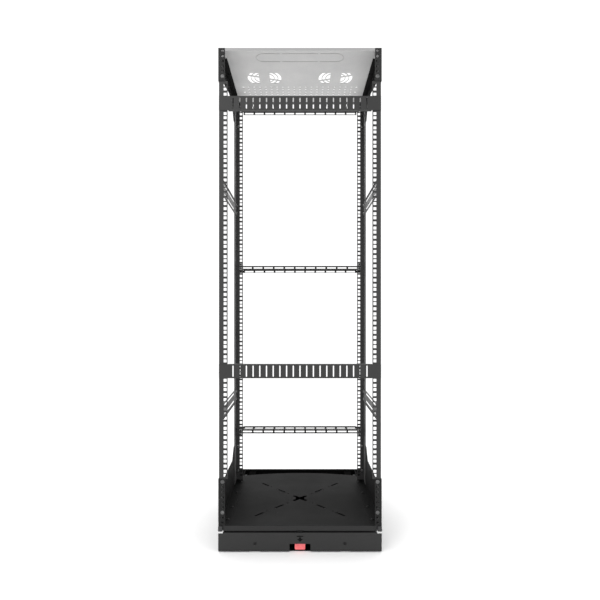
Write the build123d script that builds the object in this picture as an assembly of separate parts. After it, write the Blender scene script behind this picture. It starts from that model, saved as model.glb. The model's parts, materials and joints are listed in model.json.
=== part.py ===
from build123d import *
import math
import os
from collections import namedtuple

# Slide-out rotating equipment rack: a frame of four 19-inch rack rails stands on a turning deck,
# the deck on a ring bearing, the bearing on a carriage, and the carriage on telescopic slides in
# a base pan. Millimetres. Z = 0 is the floor, -Y is the front, X = 0 is the middle of the width.
# The drawing's Y = 0 lies between the rails; save() moves it to the middle of the footprint.

# Overall
HEIGHT = 1562.0
RAIL_HALF_WIDTH = 251.5
RAIL_SETBACK = 406.4            # front face of the front rails to rear face of the rear rails
RAIL_FRONT_Y = -240.5
RAIL_REAR_Y = RAIL_FRONT_Y + RAIL_SETBACK
AXIS_Y = RAIL_FRONT_Y + 223.0   # turning axis
DECK_REAR_Y = RAIL_FRONT_Y + 494.0
DECK_REAR_RADIUS = 812.0        # the deck's rear edge is a shallow arc
TURN_RADIUS = 344.0             # rear corners of the top are cut on this arc
SHEET = 2.0                     # sheet thickness of frame, deck, top and base pan
M4, M5, M6 = 2.0, 2.5, 3.0      # shank radii of the screws, bolts and rivets
FIT = 0.05                      # radial clearance of a screw, rivet or pin in its hole

# Nineteen-inch rack standard
UNIT = 44.45
UNIT_HOLES = (6.35, 22.225, 38.1)
HOLE_PITCH = 15.875
RACK_HOLE = 9.5
RACK_HOLE_X = 465.1 / 2
RACK_UNITS = 27
RACK_BASE_Z = 241.9

# Rails and their brackets
RAIL_INNER_X = 225.0
RAIL_DEPTH = 62.0
TAIL_INNER_X = 233.0            # narrower front flange above and below the holed stretch
BOTTOM_SIDE_TOP = (225.0, 235.0)    # tops of the bottom side panel at its front and its rear
TOP_SIDE_BOTTOM = (1460.0, 1473.0)  # lower ends of the top side panel at its front and its rear
REAR_FOOT_TOP = 128.0            # the rear bracket's foot covers the rail's lowest holes
HOLED_Z = (225.0, 1460.0)       # holed stretch of a front rail; a rear one is holed throughout
RAIL_Z = (84.0, 1552.0)
Fastening = namedtuple("Fastening", "inner_x hole_x hole_r shank_r head_r nut_r")
FRONT_FASTENING = Fastening(inner_x=233.0, hole_x=240.5, hole_r=4.3, shank_r=M6, head_r=5.6, nut_r=5.8)
REAR_FASTENING = Fastening(inner_x=238.5, hole_x=243.8, hole_r=2.8, shank_r=M5, head_r=4.6, nut_r=4.6)
BOTTOM_HOLE_Z = [89.3 + HOLE_PITCH * i for i in range(9)]
TOP_HOLE_Z = [1553.3 - HOLE_PITCH * i for i in range(6)]
BOLT_Z = (BOTTOM_HOLE_Z[2], BOTTOM_HOLE_Z[8], TOP_HOLE_Z[5])

# Base, slides and carriage
CAP_PROUD = 8.0                 # the deck's corner caps stand this far in front of the rails
PAN_HALF_WIDTH = 238.0
PAN_Y = (-238.0, 367.0)
PAN_HEIGHT = 60.0
PAN_WALL_X = PAN_HALF_WIDTH - SHEET
PAN_LIP = 12.0
REAR_WALL_HALF_WIDTH = 249.0     # the rear wall is a bar as wide as the rack
MIDDLE_Y = (RAIL_FRONT_Y - CAP_PROUD + PAN_Y[1]) / 2    # middle of the footprint
FLOOR_SCREW_X, FLOOR_SCREW_Y, FLOOR_SCREW_R = 150.0, 250.0, 4.5
SLIDE_Y = (-232.0, 328.0)
SLIDE_RIVET_Y = (-200.0, -75.0, 50.0, 175.0, 300.0)
SLIDE_RIVET_Z = (20.0, 33.0)
CARRIAGE_RIVET_Y = (-190.0, -65.0, 60.0, 185.0, 300.0)
CARRIAGE_RIVET_Z = 26.5
CAGE_Y = (-100.0, 186.0)
CAGE_BALLS = 10
SLIDE_BALL_R = 1.45
SLIDE_SHEET = 1.5
CARRIAGE_Z = (52.0, 55.0)
CARRIAGE_HALF_WIDTH = 217.0
CARRIAGE_Y = (-242.5, 352.0)
CARRIAGE_FLANGE_Y = (-230.0, 348.0)
CARRIAGE_CUT_X, CARRIAGE_CUT_Y = 190.0, 200.0   # opening in the plate behind the bearing
BUMPER_X, BUMPER_Z = 213.0, 30.0

# Fascia and latch
FASCIA_FRONT_Y = RAIL_FRONT_Y - 6.0
FASCIA_HALF_WIDTH = 253.0
FASCIA_Z = (3.0, 60.0)
FASCIA_END_X, FASCIA_END_TOP = 239.0, 57.5
FASCIA_RETURN_TOP = 44.0
FASCIA_SCREW_X, FASCIA_SCREW_Z = 139.0, 27.0
NOTCH_HALF_WIDTH, NOTCH_TOP = 32.5, 26.0
LATCH_PIVOT_Y, LATCH_PIVOT_Z = -228.0, 32.0
LATCH_PIN_R = 2.5
HOOK_Y = (-175.0, -171.5)
HOOK_TIP_Z = 6.0

# Turn stop
STOP_Y = -236.0
STOP_HALF_WIDTH = 9.0
STOP_HALF_DEPTH = 2.5
STOP_HEAD_FRONT_Y = -243.0
STOP_HEAD_Z = (60.8, 63.4)
STOP_FOOT_Z = 48.0
STOP_SHELF_Z = (40.0, 41.5)

# Ring bearing between carriage and deck
RING_IN, RING_OUT = 118.0, 150.0
BALL_CIRCLE_R = 134.0
BALL_R = 4.0
BALLS = 24
BALL_Z = 66.5
BALL_GAP = 0.3
LOWER_RING_TOP, UPPER_RING_BOTTOM = 64.0, 69.0
RING_SCREW_RADIUS = 144.5

# Deck and top
DECK_Z = (78.0, 80.0)
DECK_LIP_BOTTOM = 64.0
DECK_HALF_WIDTH = 239.0
CENTRE_CUT = 66.0
FOOT_INNER_X = 222.0            # inner edge of the bottom side panels' feet
FOOT_SCREW_X, FOOT_SCREW_Y = 230.5, (-200.0, -100.0, 30.0, 145.0)
TOP_LIGHT_REAR_Y = RAIL_FRONT_Y + 376.0
TOP_REAR_Y = RAIL_FRONT_Y + 474.0
TOP_WINDOW_Y = (RAIL_FRONT_Y + 399.0, RAIL_FRONT_Y + 455.0)
TOP_HALF_WIDTH = 251.3
TOP_LIP = 8.0
LEDGE_INNER_X, LEDGE_Y = 235.0, (RAIL_FRONT_Y + 57.0, RAIL_REAR_Y - 1.0)
TOP_RIVET_X, TOP_RIVET_Y = 242.5, (-170.0, -80.0, 20.0, 100.0, 155.0)
TOP_FRONT_HALF_WIDTH = 232.7     # front edge and lip, between the front rails
VENT_X, VENT_Y, VENT_R = 123.7, RAIL_FRONT_Y + 188.0, 59.0
KNOCKOUT_Y, KNOCKOUT = RAIL_FRONT_Y + 52.0, (283.0, 51.0)

# Slotted bars
BAR_HEIGHT = 43.9
BAR_SLOT_PITCH = 20.78
BAR_SLOT = (4.0, 35.0)
BAR_SLOTS = 21
FRONT_BAR_Z = (RACK_BASE_Z + 7 * UNIT - HOLE_PITCH + 0.3, RACK_BASE_Z + 25 * UNIT + HOLE_PITCH + 0.3)
WINDOW_PITCH, WINDOW_WIDTH = 41.45, 35.0
LACING_DEPTH = 68.0
LACING_HALF_WIDTH = 246.0        # the flanges reach behind the rear rails
LACING_WEB_HALF_WIDTH = 228.0    # the web stops beside the screw heads
LACING_TAB = (226.5, 243.0)
LACING_WEB_Z = (277.0, 914.0)
LACING_NEAR, LACING_FAR = 12.0, 9.5
LACING_SHEET = 1.5
BRACE_HEIGHT = 50.0
BRACE_Z = (397.0, 1118.5)


def rect(x0, x1, y0, y1):
    """Sketch rectangle between two corners."""
    return Pos((x0 + x1) / 2, (y0 + y1) / 2) * Rectangle(x1 - x0, y1 - y0)


def slab(x, y, z):
    """Box from three (low, high) pairs."""
    size = [high - low for low, high in (x, y, z)]
    centre = [(high + low) / 2 for low, high in (x, y, z)]
    return Pos(*centre) * Box(*size)


def front_plate(sketch, y, thickness=SHEET):
    """Plate drawn in X and Z, its front face at y."""
    plane = Plane(origin=(0, y, 0), x_dir=(1, 0, 0), z_dir=(0, -1, 0))
    return extrude(plane * sketch, -thickness)


def side_plate(sketch, x, thickness=SHEET):
    """Plate drawn in Y and Z, from x towards +X."""
    plane = Plane(origin=(x, 0, 0), x_dir=(0, 1, 0), z_dir=(1, 0, 0))
    return extrude(plane * sketch, thickness)


def flat_plate(sketch, z, thickness=SHEET):
    """Plate drawn in X and Y, its lower face at z."""
    return extrude(Plane.XY.offset(z) * sketch, thickness)


def start_and_height(levels):
    """Lower level and height of a (low, high) pair."""
    return levels[0], levels[1] - levels[0]


def rod(point, direction, radius, length):
    """Cylinder that starts at point and runs along direction."""
    return extrude(Plane(origin=point, z_dir=direction) * Circle(radius), length)


def hexagon(point, direction, radius, length, bore=0.0):
    """Hexagonal head or nut that starts at point and runs along direction."""
    face = RegularPolygon(radius, 6)
    if bore:
        face -= Circle(bore)
    return extrude(Plane(origin=point, z_dir=direction) * face, length)


def outline(*points):
    """Closed polygon sketch."""
    return make_face(Polyline(*points, close=True))


def both(solid):
    """The solid and its mirror image in X."""
    return [solid, mirror(solid, Plane.YZ)]


def save(name, *solids):
    """Write one node: a single solid, or a group of separate ones."""
    flat = [piece for item in solids for piece in (item.solids() if hasattr(item, "solids") else item)]
    flat = [Pos(0, -MIDDLE_Y, 0) * piece for piece in flat]
    export_step(flat[0] if len(flat) == 1 else Compound(children=flat), f"parts/{name}.step")


def save_pair(name, right):
    """Write a right-hand piece (+X) and its mirror image as two nodes."""
    save(f"{name}_right", right)
    save(f"{name}_left", mirror(right, Plane.YZ))


# Base

def base_pan():
    floor = rect(-PAN_HALF_WIDTH, PAN_HALF_WIDTH, *PAN_Y) - Pos(0, AXIS_Y) * Circle(40)
    floor -= [Pos(x, MIDDLE_Y + y) * Circle(FLOOR_SCREW_R)
              for x in (-FLOOR_SCREW_X, FLOOR_SCREW_X) for y in (-FLOOR_SCREW_Y, FLOOR_SCREW_Y)]
    pan = flat_plate(floor, 0)
    wall = rect(*PAN_Y, 0, PAN_HEIGHT) - slide_rivet_holes(M4 + FIT)
    wall -= rect(PAN_Y[0] - 1, PAN_Y[0] + 4, PAN_HEIGHT - 3, PAN_HEIGHT + 1)    # clears the fascia's cap
    pan += both(side_plate(wall, PAN_WALL_X))
    across = (-REAR_WALL_HALF_WIDTH, REAR_WALL_HALF_WIDTH)
    pan += slab(across, (PAN_Y[1] - SHEET, PAN_Y[1]), (0, PAN_HEIGHT))
    return pan + slab(across, (PAN_Y[1] - PAN_LIP, PAN_Y[1]), (PAN_HEIGHT - SHEET, PAN_HEIGHT))


def slide_rivet_points():
    return [(y, z) for y in SLIDE_RIVET_Y for z in SLIDE_RIVET_Z]


def slide_rivet_holes(radius):
    return [Pos(y, z) * Circle(radius) for y, z in slide_rivet_points()]


def channel(web_x, toe_x, z, y):
    """C-section along Y: web at web_x, flanges that reach toe_x, heights z."""
    low, high = min(web_x, toe_x), max(web_x, toe_x)
    bottom = slab((low, high), y, (z[0], z[0] + SLIDE_SHEET))
    top = slab((low, high), y, (z[1] - SLIDE_SHEET, z[1]))
    step = SLIDE_SHEET if toe_x > web_x else -SLIDE_SHEET
    web = slab(sorted((web_x, web_x + step)), y, z)
    return bottom + web + top


def slide_outer():
    member = channel(PAN_WALL_X, PAN_WALL_X - 10, (4, 49), SLIDE_Y)
    return member - [rod((PAN_WALL_X - 5, y, z), (1, 0, 0), M4 + FIT, 10) for y, z in slide_rivet_points()]


def slide_middle():
    return channel(PAN_WALL_X - 3.5, PAN_WALL_X - 13.5, (9, 44), (SLIDE_Y[0], SLIDE_Y[1] - 10))


def slide_inner():
    return channel(CARRIAGE_HALF_WIDTH, PAN_WALL_X - 8, (14, 39), (SLIDE_Y[0], SLIDE_Y[1] - 10))


def slide_cage(web_x, depth, z):
    """Ball cage: a thin channel with a row of balls through each flange."""
    skin = 0.6
    low, high = z
    web = slab((web_x - skin, web_x), CAGE_Y, (low - skin / 2, high + skin / 2))
    cage, balls = web, []
    step = (CAGE_Y[1] - CAGE_Y[0] - 16) / (CAGE_BALLS - 1)
    for level in z:
        strip = rect(web_x - depth, web_x - skin, *CAGE_Y)
        centres = [(web_x - depth / 2 - skin / 2, CAGE_Y[0] + 8 + step * i) for i in range(CAGE_BALLS)]
        strip -= [Pos(*c) * Circle(SLIDE_BALL_R + 0.1) for c in centres]
        cage += flat_plate(strip, level - skin / 2, skin)
        balls += [Pos(*c, level) * Sphere(SLIDE_BALL_R) for c in centres]
    return cage, balls


def latch_keeper():
    plate = rect(-15, 15, -184, -164) - rect(-6, 6, HOOK_Y[0] - 1.5, HOOK_Y[1] + 1.5)
    return flat_plate(plate, SHEET, 3.2)


def rear_bumpers():
    """Stepped rubber stops behind the carriage's side flanges."""
    back = PAN_Y[1] - SHEET
    tip = CARRIAGE_FLANGE_Y[1] + 0.5
    pads = []
    for x in (-BUMPER_X, BUMPER_X):
        foot = rod((x, back, BUMPER_Z), (0, -1, 0), 9, 8)
        pads.append(foot + rod((x, back - 8, BUMPER_Z), (0, -1, 0), 7, back - 8 - tip))
    return pads


def pan_rivets():
    shank = SHEET + SLIDE_SHEET
    rivets = []
    for y, z in slide_rivet_points():
        rivet = rod((PAN_HALF_WIDTH, y, z), (-1, 0, 0), M4, shank)
        rivets += both(rivet + rod((PAN_HALF_WIDTH, y, z), (1, 0, 0), 4.0, 1.2))
    return rivets


# Carriage

def carriage_plate():
    floor = rect(-CARRIAGE_HALF_WIDTH, CARRIAGE_HALF_WIDTH, *CARRIAGE_Y) - Pos(0, AXIS_Y) * Circle(45)
    floor -= rect(-STOP_HALF_WIDTH - 0.5, STOP_HALF_WIDTH + 0.5, STOP_Y - 3, STOP_Y + 3)
    floor -= rect(-CARRIAGE_CUT_X, CARRIAGE_CUT_X, CARRIAGE_CUT_Y, CARRIAGE_Y[1] + 1)
    plate = flat_plate(floor, *start_and_height(CARRIAGE_Z))
    plate -= [rod((x, y, CARRIAGE_Z[0] - 1), (0, 0, 1), M4 + FIT, 5) for x, y in ring_screw_points()]
    flange = slab((CARRIAGE_HALF_WIDTH - SHEET, CARRIAGE_HALF_WIDTH),
                  CARRIAGE_FLANGE_Y, (10, CARRIAGE_Z[0]))
    plate += both(flange)
    apron = rect(-213, 213, 16, CARRIAGE_Z[0]) - rect(-36, 36, 0, 30)
    apron -= [Pos(x, FASCIA_SCREW_Z) * Circle(M6 + FIT) for x in (-FASCIA_SCREW_X, FASCIA_SCREW_X)]
    return plate + front_plate(apron, CARRIAGE_Y[0])


def fascia():
    low, high = FASCIA_Z
    end, half = FASCIA_END_X, FASCIA_HALF_WIDTH
    face = outline((-half, low), (half, low), (half, FASCIA_END_TOP), (end, FASCIA_END_TOP),
                   (end, high), (-end, high), (-end, FASCIA_END_TOP), (-half, FASCIA_END_TOP))
    face -= rect(-NOTCH_HALF_WIDTH, NOTCH_HALF_WIDTH, low - 1, NOTCH_TOP)
    for x in (-140, 140):
        face -= Pos(x, low) * SlotOverall(34, 4.4)
    face -= [Pos(x, FASCIA_SCREW_Z) * Circle(M6 + FIT) for x in (-FASCIA_SCREW_X, FASCIA_SCREW_X)]
    shell = front_plate(face, FASCIA_FRONT_Y)
    back = FASCIA_FRONT_Y + SHEET
    cap = rect(-end, end, back, back + 9)
    cap -= rect(-STOP_HALF_WIDTH - 0.5, STOP_HALF_WIDTH + 0.5, STOP_HEAD_FRONT_Y - 0.5, 0)
    shell += flat_plate(cap, high - SHEET)
    shell += both(slab((half - SHEET, half), (back, back + 30), (low, FASCIA_RETURN_TOP)))
    # Folded edge round the latch notch
    shell += both(slab((NOTCH_HALF_WIDTH, NOTCH_HALF_WIDTH + 1.5), (back, back + 8), (low, NOTCH_TOP + 1.5)))
    shell += slab((-NOTCH_HALF_WIDTH, NOTCH_HALF_WIDTH), (back, back + 8), (NOTCH_TOP, NOTCH_TOP + 1.5))
    return shell


def fascia_screws():
    screws = []
    for x in (-FASCIA_SCREW_X, FASCIA_SCREW_X):
        head = rod((x, FASCIA_FRONT_Y, FASCIA_SCREW_Z), (0, -1, 0), 5.0, 1.6)
        head -= hexagon((x, FASCIA_FRONT_Y - 1.6, FASCIA_SCREW_Z), (0, 1, 0), 2.0, 1.2)
        screws.append(head + rod((x, FASCIA_FRONT_Y, FASCIA_SCREW_Z), (0, 1, 0), M6, 12))
    return screws


def latch_bracket():
    """Two ears that hang from the carriage plate and carry the latch pin."""
    top = CARRIAGE_Z[0]
    ear = outline((-234, top), (-206, top), (-218, 25), (-234, 25))
    ear -= Pos(LATCH_PIVOT_Y, LATCH_PIVOT_Z) * Circle(LATCH_PIN_R + 0.03)
    bracket = slab((-14, 14), (-229, -206), (top - SHEET, top))
    return bracket + both(side_plate(ear, 14))


def latch_pin():
    pin = rod((-17.5, LATCH_PIVOT_Y, LATCH_PIVOT_Z), (1, 0, 0), LATCH_PIN_R, 35)
    return pin + rod((16.2, LATCH_PIVOT_Y, LATCH_PIVOT_Z), (1, 0, 0), 4.0, 1.8)


def latch_spring():
    """Torsion spring round the pin: close coils and two legs."""
    wire, coil_r, pitch = 0.6, 4.2, 1.5
    start = 7.6
    coils = [Pos(start + pitch * i, LATCH_PIVOT_Y, LATCH_PIVOT_Z) * Rot(0, 90, 0) * Torus(coil_r, wire)
             for i in range(3)]
    spine = slab((start - 0.4, start + pitch * 2 + 0.4),
                 (LATCH_PIVOT_Y - 0.4, LATCH_PIVOT_Y + 0.4),
                 (LATCH_PIVOT_Z + coil_r - 0.4, LATCH_PIVOT_Z + coil_r + 0.4))
    leg = rod((start, LATCH_PIVOT_Y, LATCH_PIVOT_Z + coil_r), (0, 0, 1), wire,
              CARRIAGE_Z[0] - SHEET - LATCH_PIVOT_Z - coil_r)
    spring = spine + leg
    for coil in coils:
        spring += coil
    return spring


def latch_lever():
    """Sprung lever: a front leg for the paddle, a hub on the pin, an arm and a hook."""
    y, z = LATCH_PIVOT_Y, LATCH_PIVOT_Z
    profile = Pos(y, z) * Circle(6)
    profile += outline((y - 8, 8), (y - 5.5, 8), (y - 5.5, z - 1), (y, z - 2), (y, z + 4), (y - 5, z + 2),
                       (y - 8, z - 4))
    profile += rect(y, HOOK_Y[1], z - 1.5, z + 1.5)
    profile += outline((HOOK_Y[0], z), (HOOK_Y[0], HOOK_TIP_Z + 2), (HOOK_Y[0] + 1.2, HOOK_TIP_Z),
                       (HOOK_Y[1], HOOK_TIP_Z), (HOOK_Y[1], z))
    profile -= Pos(y, z) * Circle(LATCH_PIN_R + FIT)
    return side_plate(profile, -5, 10)


def latch_paddle():
    """Moulded foot paddle on the lever's front leg, with finger ribs on its face."""
    back = LATCH_PIVOT_Y - 8
    body = front_plate(RectangleRounded(33, 20, 3), back - 7.5, 7.5).translate((0, 0, 16))
    ribs = [slab((-13, 13), (back - 8.1, back - 7.4), (z, z + 1.2)) for z in (10.5, 14.0, 17.5)]
    dish = slab((-12, 12), (back - 2.5, back + 1), (20.5, 30))
    for rib in ribs:
        body += rib
    return body - dish


def turn_stop_plunger():
    """Plunger with a head under the deck's skirt, a retaining foot and a spring spigot."""
    half, depth = STOP_HALF_WIDTH, STOP_HALF_DEPTH
    stem = slab((-half, half), (STOP_Y - depth, STOP_Y + depth), (STOP_FOOT_Z, STOP_HEAD_Z[0]))
    head = slab((-half, half), (STOP_HEAD_FRONT_Y, STOP_Y + depth), STOP_HEAD_Z)
    foot = slab((-half - 3, half + 3), (STOP_Y - depth, STOP_Y + depth + 2.5),
                (STOP_FOOT_Z, CARRIAGE_Z[0] - 0.3))
    spigot = rod((0, STOP_Y, STOP_FOOT_Z - 3.5), (0, 0, 1), 1.2, 4)
    return stem + head + foot + spigot


def turn_stop_spring():
    """Compression spring between the plunger's foot and its shelf."""
    wire, coil_r, turns = 0.45, 2.3, 5
    base = STOP_SHELF_Z[1] + wire
    pitch = (STOP_FOOT_Z - wire - base) / (turns - 1)
    rings = [Pos(0, STOP_Y, base + pitch * i) * Torus(coil_r, wire) for i in range(turns)]
    spring = rod((coil_r, STOP_Y, base), (0, 0, 1), 0.4, pitch * (turns - 1))
    for ring in rings:
        spring += ring
    return spring


def turn_stop_bracket():
    """Shelf under the plunger, folded from a tab on the back of the carriage's apron."""
    apron_back = CARRIAGE_Y[0] + SHEET
    shelf = slab((-12, 12), (apron_back, STOP_Y + 4), STOP_SHELF_Z)
    return shelf + slab((-12, 12), (apron_back, apron_back + 1.5), (STOP_SHELF_Z[0], CARRIAGE_Z[0] - 1))


def ring_screw_points():
    angles = [math.radians(30 * i) for i in range(12)]
    return [(RING_SCREW_RADIUS * math.cos(a), AXIS_Y + RING_SCREW_RADIUS * math.sin(a)) for a in angles]


def bearing_ring(z, groove_z):
    ring = Circle(RING_OUT) - Circle(RING_IN)
    solid = flat_plate(Pos(0, AXIS_Y) * ring, *start_and_height(z))
    solid -= Pos(0, AXIS_Y, groove_z) * Torus(BALL_CIRCLE_R, BALL_R + BALL_GAP)
    depth = z[1] - z[0] + 2
    return solid - [rod((x, y, z[0] - 1), (0, 0, 1), M4 + FIT, depth) for x, y in ring_screw_points()]


def bearing_ball_points():
    angles = [2 * math.pi * i / BALLS for i in range(BALLS)]
    return [(BALL_CIRCLE_R * math.cos(a), AXIS_Y + BALL_CIRCLE_R * math.sin(a)) for a in angles]


def bearing_cage():
    ring = Pos(0, AXIS_Y) * (Circle(141) - Circle(127))
    ring -= [Pos(x, y) * Circle(BALL_R + 0.1) for x, y in bearing_ball_points()]
    return flat_plate(ring, BALL_Z - 0.8, 1.6)


def bearing_balls():
    return [Pos(x, y, BALL_Z) * Sphere(BALL_R) for x, y in bearing_ball_points()]


def lower_ring_screws():
    """Screws up through the carriage plate into the lower ring, heads below the plate."""
    screws = []
    for x, y in ring_screw_points():
        head = rod((x, y, CARRIAGE_Z[0]), (0, 0, -1), 3.6, 2.0)
        screws.append(head + rod((x, y, CARRIAGE_Z[0]), (0, 0, 1), M4, 9))
    return screws


def countersink(x, y, clearance=0.0):
    """Conical seat or head in the deck sheet, flush with its upper face."""
    cone = Cone(M4 + clearance, 3.6 + clearance, SHEET)
    return Pos(x, y, sum(DECK_Z) / 2) * cone


def upper_ring_screws():
    """Countersunk screws down through the deck into the upper ring."""
    return [countersink(x, y) + rod((x, y, DECK_Z[0]), (0, 0, -1), M4, 7) for x, y in ring_screw_points()]


def carriage_rivets():
    """Rivets that hold the inner slide members to the carriage's side flanges."""
    rivets = []
    for y in CARRIAGE_RIVET_Y:
        start = (CARRIAGE_HALF_WIDTH + SLIDE_SHEET, y, CARRIAGE_RIVET_Z)
        shank = rod(start, (-1, 0, 0), M4, SLIDE_SHEET + SHEET)
        head = rod((CARRIAGE_HALF_WIDTH - SHEET, y, CARRIAGE_RIVET_Z), (-1, 0, 0), 4.0, 1.2)
        rivets += both(shank + head)
    return rivets


def drill_for_carriage_rivets(solid):
    x, z = CARRIAGE_HALF_WIDTH + 3, CARRIAGE_RIVET_Z
    holes = [rod((x, y, z), (-1, 0, 0), M4 + FIT, 8) for y in CARRIAGE_RIVET_Y]
    return solid - holes - [mirror(hole, Plane.YZ) for hole in holes]


# Rack frame

def deck_outline(inset=0.0):
    """Deck in plan: straight front and sides, and a rear edge bowed on a wide arc."""
    half = DECK_HALF_WIDTH - inset
    plan = rect(-half, half, RAIL_FRONT_Y - SHEET + inset, DECK_REAR_Y - inset)
    return plan & (Pos(0, DECK_REAR_Y - DECK_REAR_RADIUS) * Circle(DECK_REAR_RADIUS - inset))


def deck_slots():
    """Four arms of two long slots and two small holes each, crossing at the turning axis."""
    width, hole_r, angle = 7.0, 3.2, 46.0
    arm = [Pos(191, 0) * SlotOverall(41, width), Pos(157, 0) * Circle(hole_r),
           Pos(102, 0) * SlotOverall(46, width), Pos(62, 0) * Circle(hole_r)]
    turns = (angle, 180 - angle, angle - 180, -angle)
    return [Pos(0, AXIS_Y) * Rot(0, 0, turn) * cut for turn in turns for cut in arm]


def centre_cut():
    """Cable entry at the turning axis: a cross with a wide bar through its middle."""
    arm = RectangleRounded(CENTRE_CUT, 12, 4)
    bar = RectangleRounded(30, 16, 4)
    return Pos(0, AXIS_Y) * (Rot(0, 0, 45) * arm + Rot(0, 0, -45) * arm + bar)


def foot_screw_points():
    return [(FOOT_SCREW_X, y) for y in FOOT_SCREW_Y]


def deck_plate():
    top = deck_outline() - deck_slots() - centre_cut()
    top -= [Pos(sign * x, y) * Circle(M6 + FIT) for sign in (-1, 1) for x, y in foot_screw_points()]
    deck = flat_plate(top, DECK_Z[0])
    deck -= [countersink(x, y, clearance=FIT) for x, y in ring_screw_points()]
    skirt = flat_plate(deck_outline() - deck_outline(SHEET), DECK_LIP_BOTTOM, DECK_Z[0] - DECK_LIP_BOTTOM)
    keeper = slab((-STOP_HALF_WIDTH - 1, STOP_HALF_WIDTH + 1), (-250, AXIS_Y - 200),
                  (DECK_LIP_BOTTOM - 1, DECK_LIP_BOTTOM + 1.5))
    return deck + (skirt - keeper)


def deck_corner_caps():
    """Black bumpers that close the ends of the deck's skirt at its four corners."""
    def cap(y0, y1):
        plan = Pos(246.75, (y0 + y1) / 2) * RectangleRounded(14.5, y1 - y0, 2.5)
        return flat_plate(plan, DECK_LIP_BOTTOM, DECK_Z[1] - DECK_LIP_BOTTOM)
    front = cap(RAIL_FRONT_Y - CAP_PROUD, RAIL_FRONT_Y + 20)
    return both(front) + both(cap(RAIL_REAR_Y - 24, RAIL_REAR_Y + 4))


def bracket_flange(z, holes, y, fastening):
    face = rect(fastening.inner_x, RAIL_HALF_WIDTH + SHEET, *z)
    face -= [Pos(fastening.hole_x, h) * Circle(fastening.hole_r) for h in holes if z[0] < h < z[1]]
    return front_plate(face, y)


def bottom_side():
    """Right side panel that stands on the deck and holds the feet of two rails."""
    front, rear = RAIL_FRONT_Y - SHEET, RAIL_REAR_Y + SHEET
    low, front_top, rear_top = DECK_Z[1], *BOTTOM_SIDE_TOP
    wall = outline((front, low), (rear, low), (rear, rear_top), (100, 229), (64, 189), (-176, 189),
                   (-192, front_top), (front, front_top))
    panel = side_plate(wall, RAIL_HALF_WIDTH)
    panel += bracket_flange((low, front_top), BOTTOM_HOLE_Z, front, FRONT_FASTENING)
    panel += bracket_flange((low, rear_top), BOLT_Z, RAIL_REAR_Y, REAR_FASTENING)
    panel += front_plate(rect(RAIL_INNER_X + 1, REAR_FASTENING.inner_x, low, REAR_FOOT_TOP), RAIL_REAR_Y)
    foot = rect(FOOT_INNER_X, RAIL_HALF_WIDTH, RAIL_FRONT_Y + 1, RAIL_REAR_Y - 1)
    foot -= [Pos(x, y) * Circle(M6 + FIT) for x, y in foot_screw_points()]
    return panel + flat_plate(foot, low)


def top_side():
    """Right top side panel: arched lower edge, flanges for two rails and a ledge for the top."""
    front, rear = RAIL_FRONT_Y - SHEET, RAIL_REAR_Y + SHEET
    front_low, rear_low = TOP_SIDE_BOTTOM
    wall = outline((front, HEIGHT), (front, front_low), (-192, front_low), (-176, 1494), (-18, 1524),
                   (58, 1524), (100, rear_low), (rear, rear_low), (rear, HEIGHT))
    panel = side_plate(wall, RAIL_HALF_WIDTH)
    panel += bracket_flange((front_low, HEIGHT), TOP_HOLE_Z, front, FRONT_FASTENING)
    panel += bracket_flange((rear_low, HEIGHT - SHEET), BOLT_Z, RAIL_REAR_Y, REAR_FASTENING)
    ledge = rect(LEDGE_INNER_X, RAIL_HALF_WIDTH, *LEDGE_Y)
    ledge -= [Pos(x, y) * Circle(M4 + FIT) for x, y in top_rivet_points()]
    return panel + flat_plate(ledge, HEIGHT - 2 * SHEET)


def top_rivet_points():
    return [(TOP_RIVET_X, y) for y in TOP_RIVET_Y]


def top_rivets():
    rivets = []
    for x, y in top_rivet_points():
        shank = rod((x, y, HEIGHT - 2 * SHEET), (0, 0, 1), M4, 2 * SHEET)
        rivets += both(shank + rod((x, y, HEIGHT - 2 * SHEET), (0, 0, -1), 4.0, 1.5))
    return rivets


def vent(x):
    """Bridged round vent: two rounded openings, each crossed by a slim diagonal rib and two hoops."""
    disc = Circle(VENT_R) & Rectangle(2 * VENT_R, 74)
    disc -= Rectangle(37, 120)
    disc -= Rot(0, 0, 20 if x < 0 else -20) * Rectangle(130, 5)
    for radius in (34, 47):
        disc -= Circle(radius + 1.2) - Circle(radius - 1.2)
    return Pos(x, VENT_Y) * disc


def knockout_groove():
    """Groove pressed into the underside round an obround blank, left whole at four tabs."""
    length, width = KNOCKOUT
    ring = SlotOverall(length, width) - SlotOverall(length - 5, width - 5)
    ring -= [Pos(x, y) * Rectangle(7, 8) for x in (-61, 61) for y in (-25, 25)]
    return extrude(Plane.XY.offset(HEIGHT - SHEET) * Pos(0, KNOCKOUT_Y) * ring, SHEET * 0.7)


def top_panel():
    plan = rect(-TOP_HALF_WIDTH, TOP_HALF_WIDTH, RAIL_FRONT_Y + 0.1, TOP_LIGHT_REAR_Y)
    plan += rect(-TOP_FRONT_HALF_WIDTH, TOP_FRONT_HALF_WIDTH, RAIL_FRONT_Y - SHEET, RAIL_FRONT_Y + 1)
    plan -= [vent(-VENT_X), vent(VENT_X)]
    columns = [BAR_SLOT_PITCH * i for i in range(-9, 10)]
    rows = [RAIL_FRONT_Y + 256 + 20 * i for i in range(6)]
    holes = [Pos(x, y) * Circle(4) for x in columns for y in rows]
    holes += [Pos(x, y) * Circle(4.5) for x in (-205, 205) for y in (rows[0], rows[2])]
    plan -= holes
    plan -= [Pos(sign * x, y) * Circle(M4 + FIT) for sign in (-1, 1) for x, y in top_rivet_points()[:4]]
    panel = flat_plate(plan, HEIGHT - SHEET) - knockout_groove()
    lip = rect(-TOP_FRONT_HALF_WIDTH, TOP_FRONT_HALF_WIDTH, HEIGHT - TOP_LIP, HEIGHT - SHEET)
    return panel + front_plate(lip, RAIL_FRONT_Y - SHEET)


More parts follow.
